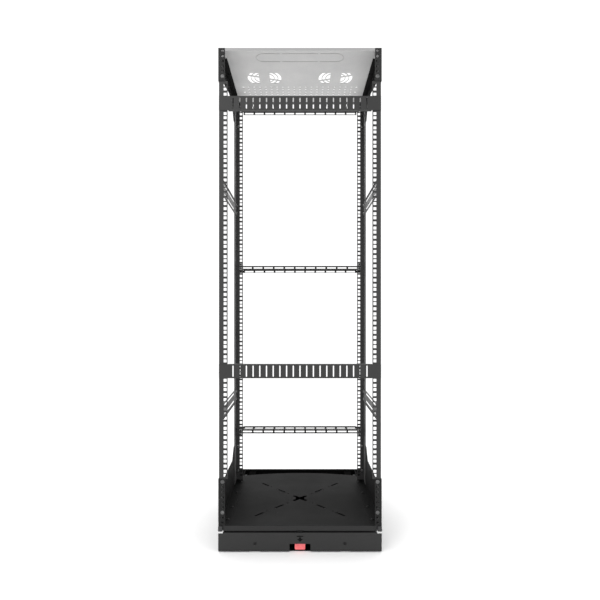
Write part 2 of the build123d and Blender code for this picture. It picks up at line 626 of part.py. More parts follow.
def top_rear_channel():
    """Slotted rear part of the top, with a slotted lip."""
    plan = rect(-TOP_HALF_WIDTH, TOP_HALF_WIDTH, TOP_LIGHT_REAR_Y + 0.5, TOP_REAR_Y)
    plan &= Pos(0, AXIS_Y) * Circle(TURN_RADIUS)
    front, rear = TOP_WINDOW_Y
    plan -= window_row((front + rear) / 2, rear - front, 2, width=38.5)
    plan -= [Pos(sign * x, y) * Circle(M4 + FIT) for sign in (-1, 1) for x, y in top_rivet_points()[4:]]
    lip = rect(-230, 230, HEIGHT - 13, HEIGHT - SHEET)
    lip -= window_row(HEIGHT - 7.5, 7, 1)
    return flat_plate(plan, HEIGHT - SHEET) + front_plate(lip, TOP_REAR_Y - SHEET)


def rack_hole_levels(low=HOLED_Z[0], high=HOLED_Z[1]):
    """Heights of the rack holes that fit between two levels."""
    units = range(-4, RACK_UNITS + 3)
    levels = [RACK_BASE_Z + UNIT * u + h for u in units for h in UNIT_HOLES]
    return [level for level in levels if low + RACK_HOLE < level < high - RACK_HOLE]


def rack_rail(front):
    """Right-hand rail: holed flange and side wall; a front rail's flange narrows at its ends."""
    holed, fastening = (HOLED_Z, FRONT_FASTENING) if front else (RAIL_Z, REAR_FASTENING)
    flange = rect(RAIL_INNER_X, RAIL_HALF_WIDTH, *holed) + rect(TAIL_INNER_X, RAIL_HALF_WIDTH, *RAIL_Z)
    square = RectangleRounded(RACK_HOLE, RACK_HOLE, 0.6)
    flange -= [Pos(RACK_HOLE_X, z) * square for z in rack_hole_levels(*holed)]
    levels = BOTTOM_HOLE_Z + TOP_HOLE_Z[1:] if front else BOLT_Z
    flange -= [Pos(fastening.hole_x, z) * Circle(fastening.hole_r) for z in levels]
    y = RAIL_FRONT_Y if front else RAIL_REAR_Y - SHEET
    depth = (y, y + RAIL_DEPTH) if front else (y + SHEET - RAIL_DEPTH, y + SHEET)
    wall = rect(*depth, *RAIL_Z)
    middle = (depth[0] + depth[1]) / 2
    wall -= [Pos(middle, z) * Circle(2.6) for z in brace_screw_levels()]
    return front_plate(flange, y) + side_plate(wall, RAIL_HALF_WIDTH - SHEET)


def front_bar(z):
    """One-unit slotted bar across the front rails, with folded edges and mounting studs."""
    face = rect(-RAIL_HALF_WIDTH, RAIL_HALF_WIDTH, z, z + BAR_HEIGHT)
    slot = SlotOverall(BAR_SLOT[1], BAR_SLOT[0], rotation=90)
    places = [(i - BAR_SLOTS // 2) * BAR_SLOT_PITCH for i in range(BAR_SLOTS)]
    face -= [Pos(x, z + BAR_HEIGHT / 2) * slot for x in places]
    bar = front_plate(face, RAIL_FRONT_Y - SHEET)
    for level in (z, z + BAR_HEIGHT - 1.5):
        bar += slab((-223, 223), (RAIL_FRONT_Y, RAIL_FRONT_Y + 9), (level, level + 1.5))
    for x, level in front_bar_studs(z):
        bar += rod((x, RAIL_FRONT_Y - 0.5, level), (0, 1, 0), M6, 11.5)
    return bar


def front_bar_studs(z):
    """Stud places: the first and third rack holes behind the bar."""
    levels = [h for h in rack_hole_levels() if z < h < z + BAR_HEIGHT]
    return [(x, level) for x in (-RACK_HOLE_X, RACK_HOLE_X) for level in (levels[0], levels[-1])]


def bar_nuts():
    nuts = []
    for z in FRONT_BAR_Z:
        for x, level in front_bar_studs(z):
            nuts.append(hexagon((x, RAIL_FRONT_Y + SHEET, level), (0, 1, 0), 7.0, 4.0, bore=M6 + FIT))
    return nuts


def window_row(middle, height, corner, width=WINDOW_WIDTH):
    """Eleven equal windows side by side."""
    window = RectangleRounded(width, height, corner)
    return [Pos(WINDOW_PITCH * i, middle) * window for i in range(-5, 6)]


def lacing_rise(web_z):
    """The upper bar's near flange turns up, and the lower bar's turns down."""
    return LACING_NEAR if web_z == LACING_WEB_Z[1] else -LACING_NEAR


def lacing_bar(web_z):
    """Lacing bar across the rear rails: near flange with tabs, web, and windowed far flange."""
    rise, half = lacing_rise(web_z), LACING_HALF_WIDTH
    near_y, far_y = RAIL_REAR_Y, RAIL_REAR_Y + LACING_DEPTH
    near = rect(-half, half, *sorted((web_z, web_z + rise)))
    near -= window_row(web_z + rise * 0.36, 6, 1)
    levels = lacing_screw_levels(web_z)
    for sign in (-1, 1):
        ends = sorted((sign * LACING_TAB[0], sign * LACING_TAB[1]))
        tab = rect(*ends, levels[0] - 8, levels[1] + 8)
        near += tab
        near -= [Pos(sign * RACK_HOLE_X, z) * Circle(3.1) for z in levels]
    far = rect(-half, half, web_z - LACING_FAR, web_z) - window_row(web_z - 5, 6, 1)
    web = rect(-LACING_WEB_HALF_WIDTH, LACING_WEB_HALF_WIDTH, near_y, far_y)
    if rise < 0:
        web -= window_row(near_y + 32, 30, 2)       # cable windows in the lower bar's web
    web_low = web_z - LACING_SHEET if rise > 0 else web_z
    return (front_plate(near, near_y, LACING_SHEET) + front_plate(far, far_y - LACING_SHEET, LACING_SHEET)
            + flat_plate(web, web_low, LACING_SHEET))


def lacing_screw_levels(web_z):
    """The two rack holes nearest the middle of the near flange."""
    middle = web_z + lacing_rise(web_z) / 2
    return sorted(sorted(rack_hole_levels(), key=lambda level: abs(level - middle))[:2])


def lacing_screws():
    """Screws from behind through the lacing bars' tabs, with square nuts in the rail holes."""
    screws, nuts = [], []
    for web_z in LACING_WEB_Z:
        for level in lacing_screw_levels(web_z):
            for x in (-RACK_HOLE_X, RACK_HOLE_X):
                back = RAIL_REAR_Y + LACING_SHEET
                screws.append(rod((x, back, level), (0, 1, 0), 4.4, 3.0)
                              - hexagon((x, back + 3, level), (0, -1, 0), 2.2, 1.8)
                              + rod((x, back, level), (0, -1, 0), M6, 14))
                nut = Box(8.8, 6.0, 8.8) - rod((0, -4, 0), (0, 1, 0), M6 + FIT, 8)
                nuts.append(Pos(x, RAIL_REAR_Y - 3.1, level) * nut)
    return screws, nuts


def brace_screw_levels():
    return [z + offset for z in BRACE_Z for offset in (10.0, BRACE_HEIGHT - 10.0)]


def side_brace(z):
    """Slotted flat brace from a front rail to a rear rail, inside their side walls."""
    front, rear = RAIL_FRONT_Y + 4, RAIL_REAR_Y - 4
    face = rect(front, rear, z, z + BRACE_HEIGHT)
    middle = (front + rear) / 2
    for level in (z + 12.0, z + BRACE_HEIGHT - 10.0):
        face -= Pos(middle, level) * RectangleRounded(232, 7, 3)
    inset = RAIL_DEPTH / 2 - 4
    for y in (front + inset, rear - inset):
        face -= [Pos(y, z + offset) * Circle(2.6) for offset in (10.0, BRACE_HEIGHT - 10.0)]
    brace = side_plate(face, RAIL_HALF_WIDTH - SHEET - 1.5, 1.5)
    between = (RAIL_FRONT_Y + RAIL_DEPTH + 0.5, RAIL_REAR_Y - RAIL_DEPTH - 0.4)
    for level in (z, z + BRACE_HEIGHT - 1.5):
        brace += slab((RAIL_HALF_WIDTH - SHEET - 4, RAIL_HALF_WIDTH - SHEET), between, (level, level + 1.5))
    return brace


def brace_screws():
    """Screws from outside through each rail wall and brace, with nuts inside."""
    screws, nuts = [], []
    for y in (RAIL_FRONT_Y + RAIL_DEPTH / 2, RAIL_REAR_Y - RAIL_DEPTH / 2):
        for z in brace_screw_levels():
            outer = rod((RAIL_HALF_WIDTH, y, z), (1, 0, 0), 4.5, 1.8)
            inner = RAIL_HALF_WIDTH - SHEET - 1.5
            screws += both(outer + rod((RAIL_HALF_WIDTH, y, z), (-1, 0, 0), M5, 9))
            nuts += both(hexagon((inner, y, z), (-1, 0, 0), 4.6, 3.2, bore=M5 + FIT))
    return screws, nuts


def frame_bolts():
    """Bolts that clamp the brackets' flanges to the rails' ends, with nuts behind."""
    bolts, nuts = [], []
    for z in BOLT_Z:
        for face_y, inward, fastening in ((RAIL_FRONT_Y - SHEET, 1, FRONT_FASTENING),
                                          (RAIL_REAR_Y + SHEET, -1, REAR_FASTENING)):
            base = (fastening.hole_x, face_y, z)
            head = rod(base, (0, -inward, 0), fastening.head_r, 2.6)
            head -= hexagon((fastening.hole_x, face_y - inward * 2.6, z), (0, inward, 0), 2.4, 1.8)
            bolts += both(head + rod(base, (0, inward, 0), fastening.shank_r, 12))
            nut_base = (fastening.hole_x, face_y + inward * 2 * SHEET, z)
            bore = fastening.shank_r + FIT
            nuts += both(hexagon(nut_base, (0, inward, 0), fastening.nut_r, 4.5, bore=bore))
    return bolts, nuts


def foot_screws():
    screws = []
    for x, y in foot_screw_points():
        screw = rod((x, y, DECK_Z[1] + SHEET), (0, 0, 1), 5.2, 2.4)
        screw -= hexagon((x, y, DECK_Z[1] + SHEET + 2.4), (0, 0, -1), 2.2, 1.6)
        screws += both(screw + rod((x, y, DECK_Z[1] + SHEET), (0, 0, -1), M6, 10))
    return screws


def build():
    os.makedirs("parts", exist_ok=True)

    save("base_pan", base_pan())
    save_pair("slide_outer", slide_outer())
    save("pan_rivets", pan_rivets())
    save("latch_keeper", latch_keeper())
    save("rear_bumpers", rear_bumpers())

    save_pair("slide_middle", slide_middle())
    for name, web_x, depth, levels in (("outer", PAN_WALL_X - 2.0, 7.5, (7.25, 45.75)),
                                       ("inner", PAN_WALL_X - 6.0, 7.0, (12.25, 40.75))):
        cage, balls = slide_cage(web_x, depth, levels)
        save(f"{name}_ball_cage_right", cage, balls)
        save(f"{name}_ball_cage_left", mirror(cage, Plane.YZ), [mirror(ball, Plane.YZ) for ball in balls])

    save("carriage_plate", drill_for_carriage_rivets(carriage_plate()))
    save_pair("slide_inner", drill_for_carriage_rivets(slide_inner()))
    save("carriage_rivets", carriage_rivets())
    save("fascia", fascia())
    save("fascia_screws", fascia_screws())
    save("latch_bracket", latch_bracket())
    save("latch_pin", latch_pin())
    save("latch_spring", latch_spring())
    save("turn_stop_bracket", turn_stop_bracket())
    save("turn_stop_spring", turn_stop_spring())
    save("bearing_lower_ring", bearing_ring((CARRIAGE_Z[1], LOWER_RING_TOP), BALL_Z))
    save("lower_ring_screws", lower_ring_screws())

    save("latch_lever", latch_lever())
    save("latch_paddle", latch_paddle())
    save("turn_stop_plunger", turn_stop_plunger())
    save("bearing_cage", bearing_cage())
    save("bearing_balls", bearing_balls())

    save("deck_plate", deck_plate())
    save("bearing_upper_ring", bearing_ring((UPPER_RING_BOTTOM, DECK_Z[0]), BALL_Z))
    save("upper_ring_screws", upper_ring_screws())
    save("deck_corner_caps", deck_corner_caps())
    save_pair("bottom_side", bottom_side())
    save("foot_screws", foot_screws())
    save_pair("top_side", top_side())
    save("top_panel", top_panel())
    save("top_rear_channel", top_rear_channel())
    save("top_rivets", top_rivets())
    save_pair("front_rail", rack_rail(front=True))
    save_pair("rear_rail", rack_rail(front=False))
    for name, z in zip(("lower", "upper"), FRONT_BAR_Z):
        save(f"front_bar_{name}", front_bar(z))
    save("bar_nuts", bar_nuts())
    for name, z in zip(("lower", "upper"), LACING_WEB_Z):
        save(f"lacing_bar_{name}", lacing_bar(z))
    screws, nuts = lacing_screws()
    save("lacing_screws", screws)
    save("lacing_nuts", nuts)
    for name, z in zip(("lower", "upper"), BRACE_Z):
        save_pair(f"side_brace_{name}", side_brace(z))
    screws, brace_nuts = brace_screws()
    save("brace_screws", screws)
    bolts, bolt_nuts = frame_bolts()
    save("frame_bolts", bolts)
    save("frame_nuts", brace_nuts, bolt_nuts)


build()
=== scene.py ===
import json
import math

import bmesh
import bpy
from mathutils import Matrix, Vector


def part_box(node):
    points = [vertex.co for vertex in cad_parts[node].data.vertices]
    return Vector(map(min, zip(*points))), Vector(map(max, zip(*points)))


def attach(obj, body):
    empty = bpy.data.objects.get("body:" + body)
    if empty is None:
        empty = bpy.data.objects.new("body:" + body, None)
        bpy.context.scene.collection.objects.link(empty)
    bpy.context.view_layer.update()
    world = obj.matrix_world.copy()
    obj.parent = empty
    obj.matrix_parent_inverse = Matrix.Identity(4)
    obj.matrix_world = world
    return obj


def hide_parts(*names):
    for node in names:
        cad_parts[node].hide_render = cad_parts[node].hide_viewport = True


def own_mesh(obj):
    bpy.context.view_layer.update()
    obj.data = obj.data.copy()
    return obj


# Looks for the slide-out rotating equipment rack. Metres, Z up, the front faces -Y.

MM = 0.001

# The camera stands level in front of the front rails.
CAMERA_AHEAD, CAMERA_HEIGHT = 1.4986, 0.738
CAMERA_LENS, CAMERA_SENSOR, CAMERA_SHIFT = 28.96, 36.0, 0.0227
CAMERA_CLIP = (0.05, 100)

# Even white sky and three soft lamps: name, place, target, size and power in watts.
SKY_STRENGTH = 1.12
LAMPS = (("key", (-1.6, -2.6, 2.6), (0, 0, 0.9), (1.6, 1.6), 28),
         ("fill", (2.4, -2.2, 1.2), (0, 0, 0.7), (1.4, 2.0), 12),
         ("back", (0.0, 2.8, 2.4), (0, 0, 0.9), (2.0, 1.0), 18))

# The floor lies just under the part and glows a little, so that it stays white near the base.
FLOOR_SIZE, FLOOR_DROP, FLOOR_GLOW = 30.0, 0.5 * MM, 0.05
FLOOR_TONES = (0.945, 0.965)

# Domed head: (share of the head's radius, share of its height) from the seat up to the socket.
BUTTON_PROFILE = ((1.0, 0.0), (1.0, 0.30), (0.94, 0.58), (0.80, 0.82), (0.60, 0.97))
SOCKET_CHAMFER, SOCKET_FLOOR = 1.12, 0.28        # widening of its mouth, height of its floor as a share
THREAD_DEPTH, THREAD_PITCH = 0.30 * MM, 0.8 * MM
SCREW_STEPS, WASHER_STEPS, BUMPER_STEPS = 24, 28, 36
SOFT_STEPS = 4                   # steps of a quarter-round edge

# The frame bolts' heads, in proportion to the radius of their CAD heads.
BOLT_SEAT = 2.6 * MM             # head height of the CAD bolt
BOLT_HEAD_HEIGHT, BOLT_LENGTH = 2.3 * MM, 12.7 * MM
BOLT_SHANK, BOLT_SOCKET = 0.54, 0.38
WASHER_THICKNESS, WASHER_RIM, WASHER_PLAY = 0.7 * MM, 0.6 * MM, 0.1 * MM

# Black screws: node, body, way out (None: away from the middle plane), then in mm the head's
# radius and height, the shank's radius and length, and the socket's radius.
BLACK_SCREWS = (("foot_screws", "rack", (0, 0, 1), 5.2, 2.4, 3.0, 10.0, 2.2),
                ("brace_screws", "rack", None, 4.5, 1.8, 2.5, 9.0, 1.6),
                ("lacing_screws", "rack", (0, 1, 0), 4.4, 3.0, 3.0, 14.0, 2.0),
                ("fascia_screws", "carriage", (0, -1, 0), 5.0, 1.6, 3.0, 12.0, 1.7))

STOP_SPRING_WIRE, STOP_SPRING_TURNS = 0.45 * MM, 6
LATCH_SPRING_WIRE, LATCH_SPRING_R, LATCH_SPRING_TURNS = 0.6 * MM, 4.2 * MM, 4
WIRE_SMOOTH = 80                 # degrees below which a wire's facets are shaded smooth
HELIX_STEPS = 20                 # steps of one turn

PADDLE_DEPTH, PADDLE_CORNER, PADDLE_SOFT, PADDLE_HOLLOW = 7.5 * MM, 4.0 * MM, 1.8 * MM, 0.5 * MM
PADDLE_FACE_BACK = 0.6 * MM      # how far the pressing face lies inside the CAD paddle's front
PADDLE_RIB = (22 * MM, 1.5 * MM, 1.2 * MM, 0.7 * MM, 0.45 * MM)  # width, height, depth, corner, soft edge
PADDLE_RIB_PLACES, PADDLE_RIB_SUNK = (-3.6 * MM, 0.0, 3.6 * MM), 0.9 * MM

# Corner caps: (inset, height) of the rounded foot in mm, then the step and the soft top edge.
CAP_FOOT = ((1.2, 0.0), (0.3, 0.6), (0.0, 1.5))
CAP_SHOULDER = 0.45              # share of the cap's height at which the step starts
CAP_STEP, CAP_STEP_RISE = 0.45 * MM, 0.4 * MM
CAP_CORNER, CAP_TOP_CORNER, CAP_SOFT = 3.0 * MM, 2.6 * MM, 1.6 * MM

# Rubber bumpers, in mm: (inset, height) of the foot, the neck's inset and start, and
# (inset from the neck, distance from the end) of the rounded end.
BUMPER_FOOT = ((0.0, 0.0), (0.0, 6.8), (0.9, 7.7))
BUMPER_NECK, BUMPER_NECK_START = 2.0, 8.2
BUMPER_END = ((0.6, 1.0), (2.0, 0.2))
BUMPER_RIBS, BUMPER_GROOVE = 3, 0.7 * MM

# Slide mark: outlines (x, z) in mm of a bar, a stem and an arrowhead, and its thickness.
MARK_SHAPES = (((-10, 51), (10, 51), (10, 47.5), (-10, 47.5)),
               ((-3.4, 46), (3.4, 46), (3.4, 41), (-3.4, 41)),
               ((-9.5, 41), (9.5, 41), (0, 32)))
MARK_THICKNESS = 0.12

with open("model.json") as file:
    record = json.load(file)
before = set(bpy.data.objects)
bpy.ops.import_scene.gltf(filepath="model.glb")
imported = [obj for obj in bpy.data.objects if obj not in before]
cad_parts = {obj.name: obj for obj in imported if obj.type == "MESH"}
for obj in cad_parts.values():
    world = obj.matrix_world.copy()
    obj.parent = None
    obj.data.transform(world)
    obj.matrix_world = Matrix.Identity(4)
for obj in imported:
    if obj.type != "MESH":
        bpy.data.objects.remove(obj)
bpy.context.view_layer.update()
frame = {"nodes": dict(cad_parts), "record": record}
NODES = frame["nodes"]
SLOT_OF = {row["node"]: row["material_slot"] for row in frame["record"]["subparts"]}
RACK_MIDDLE_Y = (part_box("front_rail_left")[0].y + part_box("rear_rail_left")[1].y) / 2


# Shader helpers

class Shader:
    """A material with a Principled BSDF and short calls for its other nodes."""

    def __init__(self, name, **constants):
        self.material = bpy.data.materials.new(name)
        self.material.use_nodes = True
        self.tree = self.material.node_tree
        self.bsdf = self.tree.nodes["Principled BSDF"]
        for socket, value in constants.items():
            self.bsdf.inputs[socket.replace("_", " ")].default_value = value
        self.position = self.node("ShaderNodeTexCoord").outputs["Object"]

    def node(self, kind, **inputs):
        made = self.tree.nodes.new(kind)
        for name, value in inputs.items():
            self.feed(made.inputs[name.replace("_", " ")], value)
        return made

    def feed(self, socket, value):
        if isinstance(value, bpy.types.NodeSocket):
            self.tree.links.new(value, socket)
        else:
            socket.default_value = value

    def stretched(self, x, y, z):
        """Object position with each axis scaled."""
        made = self.node("ShaderNodeVectorMath", Vector=self.position)
        made.operation = "MULTIPLY"
        made.inputs[1].default_value = (x, y, z)
        return made.outputs["Vector"]

    def noise(self, scale, detail=2.0, roughness=0.5, vector=None):
        made = self.node("ShaderNodeTexNoise", Vector=vector or self.position, Scale=scale,
                         Detail=detail, Roughness=roughness)
        return made.outputs["Fac"]

    def cells(self, scale, output="Distance"):
        return self.node("ShaderNodeTexVoronoi", Vector=self.position, Scale=scale).outputs[output]

    def spread(self, value, low, high, to_low=0.0, to_high=1.0):
        made = self.node("ShaderNodeMapRange", Value=value, From_Min=low, From_Max=high,
                         To_Min=to_low, To_Max=to_high)
        return made.outputs["Result"]

    def math(self, operation, a, b):
        made = self.tree.nodes.new("ShaderNodeMath")
        made.operation = operation
        self.feed(made.inputs[0], a)
        self.feed(made.inputs[1], b)
        return made.outputs["Value"]

    def mix(self, factor, a, b):
        """Colour a at factor 0 and colour b at factor 1."""
        made = self.tree.nodes.new("ShaderNodeMix")
        made.data_type = "RGBA"
        self.feed(made.inputs[0], factor)
        self.feed(made.inputs[6], a)
        self.feed(made.inputs[7], b)
        return made.outputs[2]

    def edges(self, radius):
        """1 on sharp edges, falling to 0 within radius, and the rounded normal."""
        bevel = self.node("ShaderNodeBevel", Radius=radius)
        bevel.samples = 4
        flat = self.node("ShaderNodeNewGeometry").outputs["Normal"]
        dot = self.tree.nodes.new("ShaderNodeVectorMath")
        dot.operation = "DOT_PRODUCT"
        self.feed(dot.inputs[0], bevel.outputs["Normal"])
        self.feed(dot.inputs[1], flat)
        return self.spread(dot.outputs["Value"], 0.99, 0.80), bevel.outputs["Normal"]

    def faces_outside(self):
        """1 on faces that look to the front, to the back or away from the middle plane, 0 elsewhere; the
        mask for painted light and shade on outer faces.
        """
        normal = self.node("ShaderNodeSeparateXYZ", Vector=self.node("ShaderNodeTexCoord").outputs["Normal"])
        place = self.node("ShaderNodeSeparateXYZ", Vector=self.position)
        outward = self.math("MULTIPLY", normal.outputs["X"], self.math("SIGN", place.outputs["X"], 0.0))
        along = self.math("ABSOLUTE", normal.outputs["Y"], 0.0)
        return self.spread(self.math("MAXIMUM", outward, along), 0.7, 0.95)

    def bump(self, height, distance, strength=1.0, normal=None):
        made = self.node("ShaderNodeBump", Height=height, Distance=distance, Strength=strength)
        if normal is not None:
            self.feed(made.inputs["Normal"], normal)
        return made.outputs["Normal"]

    def use(self, **links):
        for socket, value in links.items():
            self.feed(self.bsdf.inputs[socket.replace("_", " ")], value)
        return self.material


def grey(value, warm=0.0):
    return (value * (1 + warm), value, value * (1 - warm), 1.0)


def powder_coat(name, value, roughness, specular, rub=0.35, dust=0.25, painted_light_outside=1.0, ior=1.5):
    """Fine-textured powder coat: grain, faint patches, dust, and edges rubbed a little lighter.

    value is the grey's albedo; the outer-face factor scales it on the outer faces, as painted light above 1
    or painted shade below 1.
    """
    s = Shader(name, Specular_IOR_Level=specular, IOR=ior)
    edge, rounded = s.edges(0.7 * MM)
    patches = s.noise(7.0, detail=4.0, roughness=0.6)
    grain = s.noise(900.0, detail=2.0, roughness=0.65)
    pebbles = s.cells(620.0)
    colour = s.mix(s.spread(patches, 0.3, 0.7), grey(value * 0.90), grey(value * 1.12, 0.01))
    colour = s.mix(s.spread(grain, 0.45, 0.75, 0.0, 0.30), colour, grey(value * 1.7))
    specks = s.spread(s.noise(240.0, detail=3.0, roughness=0.7), 0.66, 0.74, 0.0, dust)
    colour = s.mix(specks, colour, grey(min(0.6, value * 2.2 + 0.02), 0.03))
    # Painted light and shade: outer faces take the grey scaled by the outer-face factor, for the light that
    # falls on them.
    if painted_light_outside != 1.0:
        colour = s.mix(s.faces_outside(), colour, grey(value * painted_light_outside))
    broken = s.spread(s.noise(90.0, detail=4.0, roughness=0.7), 0.40, 0.65)
    worn = s.math("MULTIPLY", s.math("MULTIPLY", edge, broken), rub)
    colour = s.mix(worn, colour, grey(min(0.8, value * 1.6 + 0.11), 0.02))
    rough = s.math("ADD", s.spread(patches, 0.3, 0.7, roughness - 0.05, roughness + 0.05),
                   s.spread(grain, 0.3, 0.7, -0.04, 0.04))
    relief = s.math("ADD", s.math("MULTIPLY", pebbles, 0.7), s.math("MULTIPLY", grain, 0.5))
    return s.use(Base_Color=colour, Roughness=rough,
                 Normal=s.bump(relief, 0.06 * MM, 0.55, rounded))


def zinc(name, value, roughness, grain=(40.0, 2200.0, 2200.0), tint=(1.0, 1.0, 1.0)):
    """Zinc-plated or bare steel: soft spangle, drawn lines, a few darker smudges, and edges painted brighter
    as a highlight.
    """
    s = Shader(name, Metallic=1.0)
    edge, rounded = s.edges(0.4 * MM)
    spangle = s.cells(160.0, output="Color")
    blotch = s.noise(30.0, detail=5.0, roughness=0.6)
    lines = s.noise(1.0, detail=3.0, vector=s.stretched(*grain))
    base = tuple(value * t for t in tint) + (1.0,)
    dull = tuple(value * 0.62 * t for t in tint) + (1.0,)
    bright = tuple(min(1.0, value * 1.22) * t for t in tint) + (1.0,)
    colour = s.mix(s.spread(blotch, 0.35, 0.7), base, dull)
    colour = s.mix(s.spread(spangle, 0.2, 0.9, 0.0, 0.35), colour, bright)
    # Painted highlight: edges mixed towards the bright tone.
    colour = s.mix(s.math("MULTIPLY", edge, 0.5), colour, bright)
    rough = s.math("ADD", s.spread(blotch, 0.3, 0.7, roughness - 0.06, roughness + 0.10),
                   s.spread(lines, 0.3, 0.7, -0.05, 0.05))
    return s.use(Base_Color=colour, Roughness=rough, Normal=s.bump(lines, 0.02 * MM, 0.5, rounded))


def turned(name, value, roughness):
    """Polished or turned metal with fine random scratches."""
    s = Shader(name, Metallic=1.0)
    scratches = s.noise(1.0, detail=5.0, roughness=0.7, vector=s.stretched(700.0, 700.0, 3000.0))
    film = s.noise(60.0, detail=3.0)
    colour = s.mix(s.spread(film, 0.35, 0.75), grey(value), grey(value * 0.7))
    rough = s.spread(scratches, 0.3, 0.7, max(0.05, roughness - 0.06), roughness + 0.08)
    return s.use(Base_Color=colour, Roughness=rough, Normal=s.bump(scratches, 0.01 * MM, 0.4))


def black_oxide(name):
    """Oiled black screws with brighter, rubbed rims."""
    s = Shader(name, Metallic=0.85)
    edge, rounded = s.edges(0.35 * MM)
    film = s.noise(400.0, detail=4.0, roughness=0.7)
    colour = s.mix(s.spread(film, 0.35, 0.7), (0.012, 0.012, 0.013, 1), (0.026, 0.025, 0.024, 1))
    colour = s.mix(s.math("MULTIPLY", edge, 0.55), colour, (0.07, 0.066, 0.062, 1))
    return s.use(Base_Color=colour, Roughness=s.spread(film, 0.3, 0.7, 0.34, 0.52),
                 Normal=s.bump(film, 0.02 * MM, 0.5, rounded))


def moulded(name, colour, light, roughness, specular, painted_edge_sheen=0.3):
    """Injection-moulded plastic: fine spark-eroded grain, faint flow clouds, high spots made smoother and
    painted lighter as a sheen.
    """
    s = Shader(name, Specular_IOR_Level=specular)
    edge, rounded = s.edges(0.6 * MM)
    grain = s.cells(1500.0)
    clouds = s.noise(55.0, detail=4.0, roughness=0.6)
    sheen_tone = tuple(min(1, channel * 1.6 + 0.01) for channel in light[:3]) + (1,)
    tone = s.mix(s.spread(clouds, 0.3, 0.7), colour, light)
    # Painted sheen: edges mixed towards a lighter tone; the roughness below makes them smoother as well.
    tone = s.mix(s.math("MULTIPLY", edge, painted_edge_sheen), tone, sheen_tone)
    rough = s.math("SUBTRACT", s.spread(clouds, 0.3, 0.7, roughness, roughness + 0.08),
                   s.math("MULTIPLY", edge, 0.15))
    return s.use(Base_Color=tone, Roughness=rough, Normal=s.bump(grain, 0.03 * MM, 0.4, rounded))


MATERIALS = {
    "frame_black": powder_coat("powder coat, rails", 0.017, 0.52, 0.48),
    # Side panels: a very low grey paints shade on faces that look inwards, up or down, and the outer-face
    # factor paints light on their outer faces.
    "side_black": powder_coat("powder coat, side panels, painted shade and light", 0.0035, 0.60, 0.07, painted_light_outside=5.6),
    "bar_black": powder_coat("powder coat, bars", 0.017, 0.50, 0.42),
    # Top side panels: a very low grey paints shade on their inner faces, and the outer-face factor paints
    # light on their outer faces.
    "top_side_painted_shade_and_light": powder_coat("powder coat, top side panels, painted shade and light", 0.0035, 0.60, 0.07, painted_light_outside=8.0),
    # Rear rails: the front rails' coat painted lighter, as painted light falling on them.
    "rear_rail_painted_light": powder_coat("powder coat, rear rails, painted light", 0.028, 0.52, 0.48),
    # Lacing bars: painted near black as the shade they sit in.
    "lacing_painted_shade": powder_coat("powder coat, lacing bars, painted shade", 0.004, 0.60, 0.06),
    # Carriage plate: painted near black as the deep shade under the deck.
    "carriage_painted_shade": powder_coat("powder coat, carriage, painted shade", 0.004, 0.65, 0.05, ior=1.05),
    # Deck: its top and other inward faces are painted dark as shade, and its front, rear and outer edges
    # lighter as painted light.
    "deck_black": powder_coat("powder coat, deck, painted shade and light", 0.0072, 0.66, 0.08, painted_light_outside=4.2),
    # Fascia: the rails' coat painted a little darker, as painted shade for the weaker light near the floor.
    "fascia_black": powder_coat("powder coat, fascia, painted shade", 0.013, 0.55, 0.41),
    # Base: painted near black as the shade under the carriage; the fascia's printed mark uses it too.
    "base_black": powder_coat("powder coat, base, painted shade", 0.004, 0.65, 0.05),
    # Light top: its own light grey, with painted shade on its front lip and other outer faces from the
    # outer-face factor below 1.
    "top_grey": powder_coat("powder coat, light top, painted shade outside", 0.475, 0.40, 0.45, rub=0.2, dust=0.05,
                            painted_light_outside=0.62),
    "cap_black": moulded("moulded cap", (0.018, 0.018, 0.019, 1), (0.026, 0.026, 0.027, 1), 0.48, 0.45),
    "paddle_red": moulded("moulded red", (0.74, 0.115, 0.125, 1), (0.84, 0.18, 0.19, 1), 0.32, 0.5, 0.2),
    # Slides: zinc plate darkened to near black, as painted shade where they sit under the deck.
    "slide_zinc": zinc("zinc plate, darkened as painted shade", 0.04, 0.42, grain=(2200.0, 40.0, 2200.0)),
    # Turning ring: steel darkened as painted shade, so that it doesn't glint through the deck's slots.
    "ring_steel": turned("turned steel, darkened as painted shade", 0.12, 0.34),
    "ball_chrome": turned("hardened balls", 0.80, 0.12),
    "cage_brass": zinc("stamped brass", 0.72, 0.32, tint=(1.0, 0.78, 0.42)),
    "spring_steel": turned("spring wire", 0.55, 0.25),
    "bolt_zinc": zinc("plated fasteners", 0.60, 0.32, grain=(1400.0, 1400.0, 1400.0)),
    "bolt_dark": zinc("dark plated bolts", 0.16, 0.42, grain=(1400.0, 1400.0, 1400.0)),
    "screw_black": black_oxide("black oxide"),
    "bumper_rubber": moulded("rubber", (0.004, 0.004, 0.004, 1), (0.008, 0.008, 0.007, 1), 0.80, 0.08, 0.1),
}


# Nodes that take a lighter or darker copy of their slot's material as painted light or shade: the lacing
# bars, carriage plate and top side panels are painted darker as shade, the top rivets take the side panels'
# shaded tone, and the rear rails are painted lighter as light.
PAINTED_LIGHT_COPIES = {
    "lacing_bar_lower": "lacing_painted_shade", "lacing_bar_upper": "lacing_painted_shade",
    "rear_rail_left": "rear_rail_painted_light", "rear_rail_right": "rear_rail_painted_light",
    "top_side_left": "top_side_painted_shade_and_light", "top_side_right": "top_side_painted_shade_and_light",
    "carriage_plate": "carriage_painted_shade", "top_rivets": "side_black",
}


def dress_cad_nodes():
    """Give each CAD node the detailed material of its slot, or a lighter or darker copy of it that paints
    light or shade.
    """
    for node, piece in NODES.items():
        material = MATERIALS[PAINTED_LIGHT_COPIES.get(node, SLOT_OF[node])]
        piece.data.materials.clear()
        piece.data.materials.append(material)


# Mesh helpers

